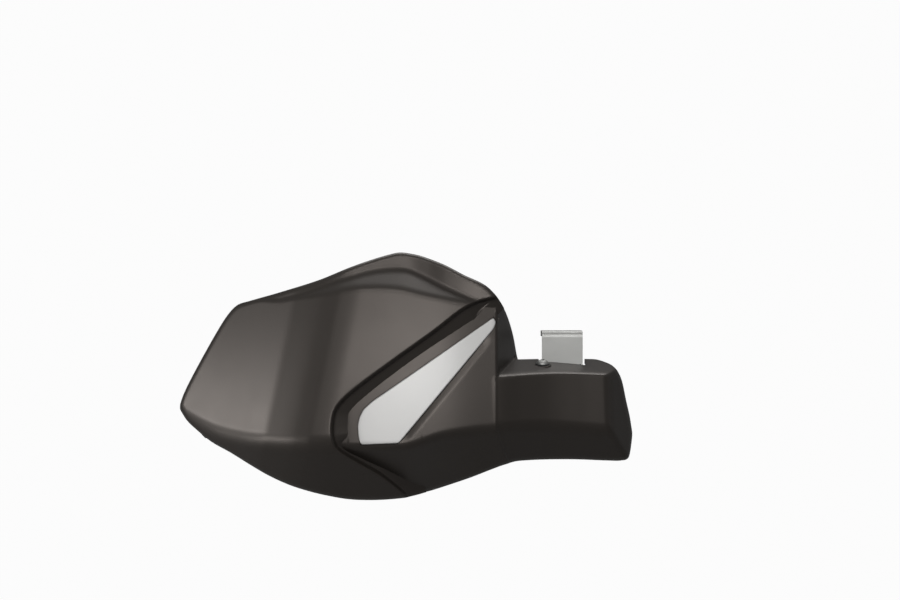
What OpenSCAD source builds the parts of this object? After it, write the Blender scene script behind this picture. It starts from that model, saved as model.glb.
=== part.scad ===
// Motorcycle hand guard for the rider's right hand, with its bar-end and mirror-stem fixings.
// The origin is on the handlebar's axis, at the end face of the tube.
// +X runs along the bar towards the bike's centre, -Y faces the road ahead, +Z is up.

/* [Shell] */
// Wall thickness of the moulded shell
wall = 3; // [2.5:0.5:4]
// Depth of the step from the outer blade down to the panel that holds the insert
step_depth = 6.5; // [5.5:0.5:8]
// Depth of the steep lip that the step starts with
lip_depth = 3.9; // [3:0.1:4.5]
// Width of the ramp between the lip and the panel
ramp_width = 7.8; // [6:0.2:8.4]
// How far the band under the top rim leans back for each millimetre of its height
band_slope = 0.85; // [0.6:0.05:1]

/* [Insert] */
// Thickness of the silver insert
insert_t = 1.7; // [1.4:0.1:2]
// Depth of the pocket that the insert sits in
pocket_d = 1.2; // [0.8:0.1:1.4]
// Gap between the insert and the edge of its pocket
insert_gap = 0.4; // [0.2:0.1:0.6]

/* [Bar end] */
// Outside diameter of the plug that goes into the handlebar
plug_d = 17; // [14:0.5:18]
// Length of the plug
plug_len = 30; // [24:1:36]
// Outside diameter of the bar-end weight
weight_d = 34; // [30:1:36]

/* [Mirror bracket] */
// Thickness of the bracket's plate
plate_t = 3.5; // [3:0.5:4]
// Hole for the mirror stem
stem_hole_d = 10.5; // [8.5:0.5:10.5]

/* [Hidden] */
$fn = 48;
BIG = 120;

// Curves of the shell, each a list of [x, value] in millimetres
TOP_EDGE = [[-44, 5], [-41.5, 12], [-35.5, 24], [-21.5, 49], [-13.5, 61.5], [-7.5, 67.5], [0, 70],
            [20, 75.5], [44.5, 83], [63, 90.5], [75.5, 95], [87, 98.5], [94.5, 100], [102.5, 99],
            [108.5, 97.5], [121.5, 92.5], [134, 86], [146.5, 80], [153, 74], [157.5, 67.5],
            [160.5, 61.5], [163, 54.5], [165, 47], [166.5, 39]];
BOTTOM_EDGE = [[-44, 2], [-39.5, -4.5], [-34, -9.5], [-23.5, -17.5], [-11, -24], [1, -31], [13.5, -38],
               [26, -43.5], [38.5, -47.5], [51, -50.5], [63, -52.5], [75.5, -53], [88, -52.5],
               [100.5, -51], [113, -48], [125, -44], [137.5, -39.5], [150, -34.5], [159.5, -31],
               [168.5, -29], [200, -28.5], [225, -29.5], [232, -29.5], [237, -27.5], [238.7, -20.5],
               [239.5, -14]];
BLADE_FRONT = [[-44, -24], [-20, -43], [0, -58], [22, -75], [28, -78.6], [40, -85], [47, -88], [53, -90],
               [66, -92.2], [100, -94], [125, -93], [153, -88.5], [170, -85]];
CHIN = [[-44, 3], [-39, -2.5], [-20.5, -11], [-5, -14.5], [10.5, -16], [31, -17], [160, -17]];
BAND_FOOT = [[20, 70], [36, 72.5], [52, 75.3], [70, 78], [93, 77.6], [111, 73.5], [126, 70.5], [140, 68], [152, 66]];
BAND_TOP = [[20, 71], [36, 74.5], [52, 80], [63, 84], [79, 88.5], [97.5, 89.5], [111, 84.5], [123, 78.5], [140, 71],
            [152, 67]];
PANEL_CREASE = [[60, -19], [98, -18.5], [119, -12], [136, -9], [153, -7.5], [185, -6.5], [222, -9.5],
                [240, -10]];
BOX_FRONT = [[140, -76], [149, -80], [154, -80.6], [170, -73.5], [187, -67], [205, -62.5], [222, -59], [240, -55]];
BOX_CREASE = [[150, 24], [187, 26], [222, 25], [240, 24]];
BOX_EDGE = [[150, 33.5], [215, 33.5], [222, 32], [228, 28.5], [232.5, 20.5], [235.5, 7.5], [238, -3],
            [239.5, -12]];
REAR_EDGE = [[-60, -8], [-44, -14], [-20, -22], [10, -32], [40, -37], [75, -38], [120, -38], [150, -37],
             [165, -32], [178, -22], [190, -15], [205, -14], [260, -14]];
PANEL_UNDER = [[60, 1.28], [108, 1.28], [125, 1.15], [142, 1]];

// Line in the front view where the blade steps down to the panel, from its upper end
STEP_LINE = [[168, 76], [152, 72.5], [140.5, 69.5], [130, 63.5], [116, 52.5], [93, 36], [72.5, 21], [61, 11.5],
             [55, 4], [53, -5], [53.5, -14], [57, -21], [69, -29], [81.5, -36.5], [92, -45], [102, -55],
             [112, -66]];

// Outline of the silver insert in the front view
INSERT_LINE = [[152, 60], [153.5, 57], [152, 53], [95, -15.5], [93.5, -16.5], [71, -17.5], [69.5, -12.5],
               [69, -6], [70, -1], [72.5, 4], [78, 9]];
STUDS = [[84, -3], [108, 13], [138, 43]];

// The screw on the box's top: its seat, its lean and the height of its boss
SEAT_X = 182.6;
SEAT_Z = 30.4;
SEAT_LEAN = 16;
SEAT_BOSS = 3.8;
SEAT_RISE = 0.5;
PAD_T = 1.5;

// The mirror bracket: plate ends, web and the axis of the mirror stem
WEB_Y = -37.5;
BRACKET_TOP = 51.5;
BRACKET_X = [174.6, 182.6, 194, 208];
STEM = [196.4, -20];

// The bar end along its axis: spacer, rubber, ear, rubber and weight
SPACER_X = -4;
INNER_RUBBER_X = -6;
EAR_X = -12;
OUTER_RUBBER_X = -14;
WEIGHT_X = -32;
HEAD_SEAT_X = -22;

LIP_RUN = 0.45;
ramp_run = ramp_width / (step_depth - lip_depth);
VALLEY_LEAN = 0.2;
LEAN = 0.06;
CROWN = 0.0008;
CHIN_ROUND = 7;
UNDER_SLOPE = 1.0;
END_WALL_X = 154;
END_WALL_SLOPE = 3.2;
BOX_TOP_SLOPE = 3.5;
BOX_END_X = 223.5;
BOX_END_SLOPE = 2.0;

function clamp(v, low, high) = min(max(v, low), high);
function mix(a, b, u) = a + (b - a) * u;
function soft_max(a, b, r) = max(a, b) + pow(max(r - abs(a - b), 0), 2) / (4 * r);

// Smooth curve through a list of [x, value]
function span_of(list, x, i = 0) = i >= len(list) - 2 || x < list[i + 1][0] ? i : span_of(list, x, i + 1);
function rise(list, i) =
    let (a = list[max(i - 1, 0)], b = list[min(i + 1, len(list) - 1)]) (b[1] - a[1]) / (b[0] - a[0]);
function curve(list, x) =
    let (i = span_of(list, x), a = list[i], b = list[i + 1], h = b[0] - a[0], u = clamp((x - a[0]) / h, 0, 1))
    a[1] * (2 * u * u * u - 3 * u * u + 1) + b[1] * (3 * u * u - 2 * u * u * u)
    + h * rise(list, i) * (u * u * u - 2 * u * u + u) + h * rise(list, i + 1) * (u * u * u - u * u);
function slope(list, x) = (curve(list, x + 0.5) - curve(list, x - 0.5));

// Faces of the shell as depths y over the front view, each moved inwards by inset
function leaned(z) = LEAN * z + CROWN * z * abs(z);
function lean_slope(z) = LEAN + 2 * CROWN * abs(z);
function faced(y, inset, slope_x, slope_z) = y + inset * sqrt(1 + slope_x * slope_x + slope_z * slope_z);

// How far the band under the top rim leans back, with soft corners
function band(x, z) =
    let (foot = curve(BAND_FOOT, x), wide = max(curve(BAND_TOP, x) - foot, 0.1), r = min(2.5, wide / 2))
    band_slope * (soft_max(z - foot, 0, r) - soft_max(z - foot - wide, 0, r));
function band_rise(x, z) = band(x, z + 0.5) - band(x, z - 0.5);

function blade_y(x, z, inset) =
    let (along = x - VALLEY_LEAN * (z - 46), front = curve(BLADE_FRONT, along), dx = slope(BLADE_FRONT, along),
         up = z - curve(CHIN, x))
    soft_max(faced(front + leaned(up) + band(x, z), inset, dx, lean_slope(up) + band_rise(x, z)),
             faced(front - UNDER_SLOPE * up, inset, dx, UNDER_SLOPE), CHIN_ROUND);

function panel_y(x, z, inset) =
    let (front = curve(BLADE_FRONT, x) + step_depth, dx = slope(BLADE_FRONT, x),
         up = z - curve(CHIN, x), below = curve(PANEL_CREASE, x) - z,
         face = faced(front + leaned(up), inset, dx, lean_slope(up)),
         end_wall = faced(front + leaned(up) + END_WALL_SLOPE * (x - END_WALL_X), inset, END_WALL_SLOPE, 0),
         down = curve(PANEL_UNDER, x), under = faced(front + down * below, inset, dx, down))
    soft_max(soft_max(face, end_wall, 2.5), under, 4);

function box_y(x, z, inset) =
    let (front = curve(BOX_FRONT, x), dx = slope(BOX_FRONT, x), up = z - curve(PANEL_CREASE, x),
         face = faced(front + leaned(up), inset, dx, lean_slope(up)),
         top = faced(front + leaned(up) + BOX_TOP_SLOPE * (z - curve(BOX_CREASE, x)), inset, dx, BOX_TOP_SLOPE),
         end = faced(curve(BOX_FRONT, BOX_END_X) + BOX_END_SLOPE * (x - BOX_END_X + 0.07 * z), inset,
                     BOX_END_SLOPE, 0.1),
         under = faced(front - UNDER_SLOPE * up, inset, dx, UNDER_SLOPE))
    soft_max(soft_max(soft_max(face, top, 6), end, 6), under, 5);

// Edge curves moved inwards by inset
function upper(list, x, inset) = curve(list, x) - inset * sqrt(1 + pow(slope(list, x), 2));
function lower(list, x, inset) = curve(list, x) + inset * sqrt(1 + pow(slope(list, x), 2));

// Solid behind a surface: columns of [x, y, z] from the bottom up, closed at the back
module behind(columns) {
    n = len(columns);
    m = len(columns[0]);
    count = n * m;
    front = [for (c = columns) for (p = c) p];
    back = [for (p = front) [p[0], BIG / 2, p[2]]];
    grid = [for (i = [0 : n - 2]) for (j = [0 : m - 2]) let (a = i * m + j) [a, a + 1, a + m + 1, a + m]];
    rim = concat([for (j = [0 : m - 1]) j], [for (i = [1 : n - 1]) i * m + m - 1],
                 [for (j = [m - 2 : -1 : 0]) (n - 1) * m + j], [for (i = [n - 2 : -1 : 1]) i * m]);
    polyhedron(points = concat(front, back), convexity = 8, faces = concat(
        [for (q = grid) each [[q[0], q[1], q[2]], [q[0], q[2], q[3]]]],
        [for (q = grid) each [[q[0], q[2], q[1]] + [1, 1, 1] * count, [q[0], q[3], q[2]] + [1, 1, 1] * count]],
        [for (k = [0 : len(rim) - 1]) let (a = rim[k], b = rim[(k + 1) % len(rim)])
            each [[b, a, a + count], [b, a + count, b + count]]]));
}

// Places of the columns from first to last, with those between them
function columns(first, between, last) =
    [first, each [for (x = between) if (x > first + 0.8 && x < last - 0.8) x], last];

// Heights of a column's rows: some below a crease and some above it
function rows(low, crease, high, below, above) = concat(
    [for (j = [0 : below - 1]) mix(low, crease, 1 - pow(1 - j / below, 1.3))],
    [for (j = [0 : above]) mix(crease, high, 0.5 * j / above + 0.5 * pow(j / above, 1.4))]);

module blade(inset) {
    places = [-42.5, -40.5, -38, -35, -31.5, -27.5, each [-22 : 6 : 8], 13, each [18 : 4.8 : 154]];
    behind([for (x = columns(-44 + 2 * inset, places, 158)) let (
        low = lower(BOTTOM_EDGE, x, inset), high = max(upper(TOP_EDGE, x, inset), low + 1),
        crease = clamp(curve(CHIN, x), mix(low, high, 0.05), mix(low, high, 0.95)),
        foot = clamp(curve(BAND_FOOT, x), mix(crease, high, 0.5), mix(crease, high, 0.8)),
        top = clamp(curve(BAND_TOP, x), mix(foot, high, 0.3), mix(foot, high, 0.75)))
        [for (z = concat([for (j = [0 : 5]) mix(low, crease, 1 - pow(1 - j / 6, 1.3))],
                         [for (j = [0 : 6]) mix(crease, foot - 1, j / 7)],
                         [for (u = [-0.15, 0.1, 0.5, 0.9]) mix(foot, top, u)], [top + 0.15 * (high - top)],
                         [mix(top, high, 0.55), high])) [x, blade_y(x, z, inset), z]]]);
}

module panel(inset) {
    places = [62, each [70 : 8 : 142], 148, 151, 153, 155, 157, 159.5, 162, 164.5];
    behind([for (x = columns(56 + inset, places, 166.5 - inset)) let (
        low = lower(BOTTOM_EDGE, x, inset), high = upper(TOP_EDGE, x, inset))
        [for (z = rows(low, curve(PANEL_CREASE, x), high, 4, 8)) [x, panel_y(x, z, inset), z]]]);
}

module box(inset) {
    shares = [0, 0.14, 0.24, 0.31, 0.35, 0.4, 0.55, 0.7, 0.8, 0.85, 0.89, 0.94, 1];
    places = [each [151 : 7 : 214], 218, 221, 223, 225, 228, 231, 233.5, 235.5, 237.5];
    behind([for (x = columns(144, places, 239.5 - inset)) let (
        low = lower(BOTTOM_EDGE, x, inset), high = upper(BOX_EDGE, x, inset))
        [for (s = shares) let (z = mix(low, high, s)) [x, box_y(x, z, inset), z]]]);
}

// Everything on the panel's side of the step, with its sloped wall, grown by inset
function unit(v) = v / norm(v);
function side(line, i) =
    let (d = line[min(i + 1, len(line) - 1)] - line[max(i - 1, 0)]) unit([-d[1], d[0]]);
module beyond_step(inset) {
    grown = inset * sqrt(1 + LIP_RUN * LIP_RUN);
    ramp_grown = inset * sqrt(1 + ramp_run * ramp_run);
    n = len(STEP_LINE);
    deep = step_depth + 2;
    knee = lip_depth + (ramp_grown - grown) / (ramp_run - LIP_RUN);
    knee_out = LIP_RUN * knee - grown;
    foot_out = knee_out + ramp_run * (deep - knee);
    top = [for (p = STEP_LINE) blade_y(p[0], p[1], 0)];
    line = [for (i = [0 : n - 1]) STEP_LINE[i] - side(STEP_LINE, i) * grown];
    function moved(out) = [for (i = [0 : n - 1]) STEP_LINE[i] + side(STEP_LINE, i) * out];
    function ring_at(places, sunk) = [for (i = [0 : n - 1]) [places[i][0], top[i] + sunk, places[i][1]]];
    rings = concat([for (p = line) [p[0], -BIG, p[1]]], [[320, -BIG, -BIG], [320, -BIG, BIG]],
                   ring_at(line, 0), [[320, -70, -BIG], [320, -70, BIG]],
                   ring_at(moved(knee_out), knee), [[320, -65, -BIG], [320, -65, BIG]],
                   ring_at(moved(foot_out), deep), [[320, -60, -BIG], [320, -60, BIG]],
                   [for (p = moved(foot_out)) [p[0], BIG, p[1]]], [[320, BIG, -BIG], [320, BIG, BIG]]);
    k = n + 2;
    polyhedron(points = rings, convexity = 6, faces = concat([[for (i = [k - 1 : -1 : 0]) i]],
        [for (r = [0 : 3]) for (i = [0 : k - 1]) let (a = r * k + i, b = r * k + (i + 1) % k)
            each [[a, b, b + k], [a, b + k, a + k]]],
        [[for (i = [0 : k - 1]) 4 * k + i]]));
}

module whole(inset) {
    difference() {
        blade(inset);
        beyond_step(inset);
    }
    panel(inset);
    box(inset);
}

module trimmed() {
    intersection() {
        children();
        translate([0, 0, -BIG]) linear_extrude(2 * BIG)
            polygon(concat([[260, -BIG], [-60, -BIG]], REAR_EDGE));
    }
}

// Frames: along the handlebar's axis, and square to the seat of the top screw
module along_bar(x) { translate([x, 0, 0]) rotate([0, 90, 0]) children(); }
module at_seat() { translate([SEAT_X, box_y(SEAT_X, SEAT_Z, 0), SEAT_Z]) rotate([SEAT_LEAN, 0, 0]) children(); }
module at_stud(p, y) { translate([p[0], y, p[1]]) rotate([-90, 0, 0]) children(); }
function stud_seat(p) = panel_y(p[0], p[1], 0) + wall + 1.6;

module ring(x, len, outside, inside) {
    along_bar(x) difference() {
        cylinder(d = outside, h = len);
        translate([0, 0, -1]) cylinder(d = inside, h = len + 2);
    }
}

// Front outline of the insert as a bar through the shell, grown by a gap
module insert_outline(gap) {
    translate([0, BIG / 2, 0]) rotate([90, 0, 0]) linear_extrude(2 * BIG) offset(delta = gap) polygon(INSERT_LINE);
}

module pocket() {
    difference() {
        insert_outline(insert_gap);
        panel(pocket_d);
    }
}

// Lug of the shell that reaches back to the handlebar's axis
module ear_lug() {
    intersection() {
        whole(1);
        union() {
            translate([EAR_X, 0, 0]) rotate([90, 0, 90]) linear_extrude(INNER_RUBBER_X - EAR_X)
                polygon([[-70, 32], [-44, 27], [-16, 14], [0, 14], [0, -14], [-16, -14], [-44, -20], [-70, -23]]);
            for (z = [-12, 12]) translate([0, 0, z]) linear_extrude(3, center = true)
                polygon([[EAR_X - 13, -70], [EAR_X, -18], [INNER_RUBBER_X, -18], [INNER_RUBBER_X + 24, -70]]);
            along_bar(EAR_X) cylinder(d = 28, h = INNER_RUBBER_X - EAR_X, $fn = 40);
        }
    }
}

// Upright ribs on the inside of the blade's outer end
module stiffening_ribs() {
    intersection() {
        blade(1);
        difference() {
            for (x = [8, 36]) translate([x, -BIG, 0]) cube([2.4, BIG - 30, 58]);
            blade(wall + 5);
        }
    }
}

module guard_shell() {
    color("dimgray") difference() {
        union() {
            resize([0, 0, 0]) difference() {
                union() {
                    trimmed() difference() {
                        whole(0);
                        whole(wall);
                    }
                    ear_lug();
                    stiffening_ribs();
                    intersection() {
                        whole(1);
                        union() {
                            for (p = STUDS) at_stud(p, -BIG) cylinder(d = 14, h = BIG + stud_seat(p), $fn = 28);
                            at_seat() translate([0, 0, -SEAT_BOSS]) cylinder(d = 15, h = SEAT_BOSS, $fn = 28);
                        }
                    }
                    at_seat() translate([0, 0, -SEAT_BOSS]) cylinder(d = 11, h = SEAT_BOSS + SEAT_RISE, $fn = 32);
                }
                pocket();
                translate([BRACKET_X[1] - 2, WEB_Y - 4, 15]) cube([BRACKET_X[3] - BRACKET_X[1] + 4, 60, 40]);
            }
        }
        along_bar(EAR_X - 5) cylinder(d = 14, h = 30);
        for (p = STUDS) at_stud(p, -BIG) cylinder(d = 4.4, h = 2 * BIG);
        at_seat() translate([0, 0, -12]) cylinder(d = 6.6, h = 24);
    }
}

module silver_insert() {
    color("silver") {
        resize([0, 0, 0]) intersection() {
            insert_outline(0);
            difference() {
                panel(pocket_d - insert_t);
                panel(pocket_d);
            }
        }
        for (p = STUDS) let (y = panel_y(p[0], p[1], 0)) at_stud(p, y) cylinder(d = 4, h = wall + 7.6);
    }
}

module push_on_clips() {
    color("slategray") for (p = STUDS) at_stud(p, stud_seat(p)) difference() {
        union() {
            cylinder(d = 11, h = 0.6);
            cylinder(d1 = 7, d2 = 5.4, h = 2);
        }
        translate([0, 0, -1]) cylinder(d = 4, h = 4);
        for (a = [0 : 60 : 120]) rotate(a) translate([-3.2, -0.3, -1]) cube([6.4, 0.6, 4]);
    }
}

module hex_socket(across, depth) { cylinder(r = across / 2 / cos(30), h = depth, $fn = 6); }

module top_screw() {
    color("lightgray") at_seat() {
        translate([0, 0, -12.5]) cylinder(d = 4, h = 14);
        translate([0, 0, SEAT_RISE + 0.8]) difference() {
            intersection() {
                cylinder(d = 7.6, h = 2.2);
                translate([0, 0, -2.35]) sphere(r = 4.55);
            }
            translate([0, 0, 0.8]) hex_socket(2.5, 3);
        }
    }
}

module top_washer() {
    color("darkslategray") at_seat() translate([0, 0, SEAT_RISE]) difference() {
        cylinder(d = 9, h = 0.8);
        translate([0, 0, -1]) cylinder(d = 4.3, h = 3);
    }
}

module screw_sleeve() {
    color("lightsteelblue") at_seat() translate([0, 0, -SEAT_BOSS - PAD_T]) difference() {
        cylinder(d = 6.4, h = SEAT_BOSS + PAD_T + SEAT_RISE);
        translate([0, 0, -1]) cylinder(d = 4.3, h = 9);
    }
}

module rubber_pad() {
    color("black") at_seat() translate([0, 0, -SEAT_BOSS - PAD_T]) difference() {
        cylinder(d = 15, h = PAD_T);
        translate([0, 0, -1]) cylinder(d = 6.6, h = 4);
    }
}

// Side profile of the bracket, in the plane of the web: foot, bend, web, bend, top plate
module bracket_profile() {
    r = 4;
    foot_z = BRACKET_TOP - 27.5;
    polygon([[WEB_Y, BRACKET_TOP - r], [WEB_Y + plate_t, BRACKET_TOP - r], [WEB_Y + plate_t, foot_z],
             [WEB_Y, foot_z]]);
    translate([WEB_Y + r, BRACKET_TOP - plate_t]) square([29, plate_t]);
    intersection() {
        translate([WEB_Y, BRACKET_TOP - r]) square(r);
        translate([WEB_Y + r, BRACKET_TOP - r]) difference() {
            circle(r = r);
            circle(r = r - plate_t);
        }
    }
}

module mirror_bracket() {
    color("silver") difference() {
        union() {
            translate([BRACKET_X[1], 0, 0]) rotate([90, 0, 90]) linear_extrude(BRACKET_X[3] - BRACKET_X[1])
                bracket_profile();
            intersection() {
                at_seat() translate([BRACKET_X[0] - SEAT_X, -8, -SEAT_BOSS - PAD_T - plate_t])
                    cube([BRACKET_X[2] - BRACKET_X[0], 40, plate_t]);
                translate([0, -BIG, 0]) cube([300, BIG + WEB_Y + plate_t, 60]);
            }
        }
        at_seat() translate([0, 0, -20]) cylinder(d = 5.4, h = 30);
        translate([STEM[0], STEM[1], 40]) cylinder(d = stem_hole_d, h = 20);
    }
}

module clinch_nut() {
    color("goldenrod") at_seat() translate([0, 0, -SEAT_BOSS - PAD_T - plate_t]) difference() {
        union() {
            translate([0, 0, -3]) cylinder(d = 8, h = 3);
            cylinder(d = 5.4, h = plate_t - 0.5);
        }
        translate([0, 0, -4]) cylinder(d = 4, h = 9);
    }
}

module bar_end_bolt() {
    color("lightgray") difference() {
        union() {
            along_bar(HEAD_SEAT_X - 1.4) cylinder(d = 8, h = 50);
            along_bar(HEAD_SEAT_X - 9.4) cylinder(d = 13, h = 8);
        }
        along_bar(HEAD_SEAT_X - 10.4) hex_socket(6, 6);
    }
}

module bolt_washer() { color("lightgray") ring(HEAD_SEAT_X - 1.4, 1.4, 14.6, 8.4); }

module bar_end_weight() {
    length = OUTER_RUBBER_X - WEIGHT_X;
    color("darkgray") along_bar(WEIGHT_X) difference() {
        union() {
            cylinder(d1 = weight_d - 4, d2 = weight_d, h = 2);
            translate([0, 0, 2]) cylinder(d = weight_d, h = length - 6);
            translate([0, 0, length - 4]) cylinder(d = 24, h = 4);
        }
        translate([0, 0, -1]) cylinder(d = 8.4, h = 40);
        translate([0, 0, -1]) cylinder(d = 15, h = HEAD_SEAT_X - WEIGHT_X + 1);
    }
}

module outer_rubber_washer() { color("black") ring(OUTER_RUBBER_X, EAR_X - OUTER_RUBBER_X, 24, 8.4); }
module ear_sleeve() { color("lightsteelblue") ring(EAR_X, INNER_RUBBER_X - EAR_X, 14, 8.4); }
module inner_rubber_washer() { color("black") ring(INNER_RUBBER_X, SPACER_X - INNER_RUBBER_X, 24, 8.4); }
module bar_end_spacer() { color("gray") ring(SPACER_X, -SPACER_X, 22, 8.4); }

module expander_sleeve() {
    color("peru") along_bar(0) difference() {
        cylinder(d = plug_d, h = plug_len - 6);
        translate([0, 0, -1]) cylinder(d = 8.4, h = plug_len);
        translate([0, 0, plug_len - 16]) cylinder(d1 = 8.4, d2 = 13, h = 10.01);
        for (a = [45, 135]) rotate(a) translate([-10, -0.6, 8]) cube([20, 1.2, 30]);
    }
}

module expander_cone() {
    color("goldenrod") along_bar(plug_len - 15) difference() {
        union() {
            cylinder(d1 = 8.86, d2 = 13, h = 9);
            translate([0, 0, 9]) cylinder(d = 13, h = 6);
        }
        translate([0, 0, -1]) cylinder(d = 8, h = 20);
    }
}

guard_shell();
silver_insert();
push_on_clips();
top_screw();
top_washer();
screw_sleeve();
rubber_pad();
mirror_bracket();
clinch_nut();
bar_end_bolt();
bolt_washer();
bar_end_weight();
outer_rubber_washer();
ear_sleeve();
inner_rubber_washer();
bar_end_spacer();
expander_sleeve();
expander_cone();
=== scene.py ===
"""Blender model of a motorcycle hand guard: a moulded shell, its silver insert and its fixings."""

import logging
import math
from collections.abc import Callable, Sequence
from dataclasses import dataclass, field
from enum import Enum

import bmesh
import bpy
import numpy as np
from mathutils import Matrix, Vector
from mathutils.kdtree import KDTree


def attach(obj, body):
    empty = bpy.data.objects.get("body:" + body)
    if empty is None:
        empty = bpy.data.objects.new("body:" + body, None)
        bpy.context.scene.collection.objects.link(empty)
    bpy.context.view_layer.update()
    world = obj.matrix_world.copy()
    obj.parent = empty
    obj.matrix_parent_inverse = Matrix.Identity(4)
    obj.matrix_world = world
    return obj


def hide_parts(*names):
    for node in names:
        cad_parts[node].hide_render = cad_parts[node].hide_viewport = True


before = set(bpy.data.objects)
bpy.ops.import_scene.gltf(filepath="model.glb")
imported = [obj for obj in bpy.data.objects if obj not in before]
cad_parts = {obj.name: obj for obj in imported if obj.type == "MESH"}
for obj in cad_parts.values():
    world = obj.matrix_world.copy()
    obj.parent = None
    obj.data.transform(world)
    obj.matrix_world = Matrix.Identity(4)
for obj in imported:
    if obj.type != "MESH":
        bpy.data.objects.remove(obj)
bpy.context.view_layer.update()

MM = 0.001
log = logging.getLogger("hand_guard")

Curve = Sequence[tuple[float, float]]
Values = np.ndarray

# How finely lines are read: the outline, the step's edge, and the places compared at a time
OUTLINE_POINTS = 4200
STEP_POINTS = 700
AT_ONCE = 4000


# Curves of the shell in millimetres, as in the CAD


@dataclass(frozen=True)
class ShellCurves:
    """Outlines and creases of the shell, each a list of (x, value) in millimetres."""

    top_edge: Curve = (
        (-44, 5), (-41.5, 12), (-35.5, 24), (-21.5, 49), (-13.5, 61.5), (-7.5, 67.5), (0, 70),
        (20, 75.5), (44.5, 83), (63, 90.5), (75.5, 95), (87, 98.5), (94.5, 100), (102.5, 99),
        (108.5, 97.5), (121.5, 92.5), (134, 86), (146.5, 80), (153, 74), (157.5, 67.5), (160.5, 61.5),
        (163, 54.5), (165, 47), (166.5, 39),
    )
    bottom_edge: Curve = (
        (-44, 2), (-39.5, -4.5), (-34, -9.5), (-23.5, -17.5), (-11, -24), (1, -31), (13.5, -38),
        (26, -43.5), (38.5, -47.5), (51, -50.5), (63, -52.5), (75.5, -53), (88, -52.5), (100.5, -51),
        (113, -48), (125, -44), (137.5, -39.5), (150, -34.5), (159.5, -31), (168.5, -29), (200, -28.5),
        (225, -29.5), (232, -29.5), (237, -27.5), (238.7, -20.5), (239.5, -14),
    )
    blade_front: Curve = (
        (-44, -24), (-20, -43), (0, -58), (22, -75), (28, -78.6), (40, -85), (47, -88), (53, -90),
        (66, -92.2), (100, -94), (125, -93), (153, -88.5), (170, -85),
    )
    chin: Curve = ((-44, 3), (-39, -2.5), (-20.5, -11), (-5, -14.5), (10.5, -16), (31, -17), (160, -17))
    band_foot: Curve = (
        (20, 70), (36, 72.5), (52, 75.3), (70, 78), (93, 77.6), (111, 73.5), (126, 70.5), (140, 68),
        (152, 66),
    )
    band_top: Curve = (
        (20, 71), (36, 74.5), (52, 80), (63, 84), (79, 88.5), (97.5, 89.5), (111, 84.5), (123, 78.5),
        (140, 71), (152, 67),
    )
    panel_crease: Curve = (
        (60, -19), (98, -18.5), (119, -12), (136, -9), (153, -7.5), (185, -6.5), (222, -9.5),
        (240, -10),
    )
    box_front: Curve = (
        (140, -76), (149, -80), (154, -80.6), (170, -73.5), (187, -67), (205, -62.5), (222, -59),
        (240, -55),
    )
    box_crease: Curve = ((150, 24), (187, 26), (222, 25), (240, 24))
    box_edge: Curve = (
        (150, 33.5), (215, 33.5), (222, 32), (228, 28.5), (232.5, 20.5), (235.5, 7.5), (238, -3),
        (239.5, -12),
    )
    rear_edge: Curve = (
        (-60, -8), (-44, -14), (-20, -22), (10, -32), (40, -37), (75, -38), (120, -38), (150, -37),
        (165, -32), (178, -22), (190, -15), (205, -14), (260, -14),
    )
    panel_under: Curve = ((60, 1.28), (108, 1.28), (125, 1.15), (142, 1))
    step_line: Curve = (
        (168, 76), (152, 72.5), (140.5, 69.5), (130, 63.5), (116, 52.5), (93, 36), (72.5, 21),
        (61, 11.5), (55, 4), (53, -5), (53.5, -14), (57, -21), (69, -29), (81.5, -36.5), (92, -45),
        (102, -55), (112, -66),
    )
    insert_line: Curve = (
        (152, 60), (153.5, 57), (152, 53), (95, -15.5), (93.5, -16.5), (71, -17.5), (69.5, -12.5),
        (69, -6), (70, -1), (72.5, 4), (78, 9),
    )


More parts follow.
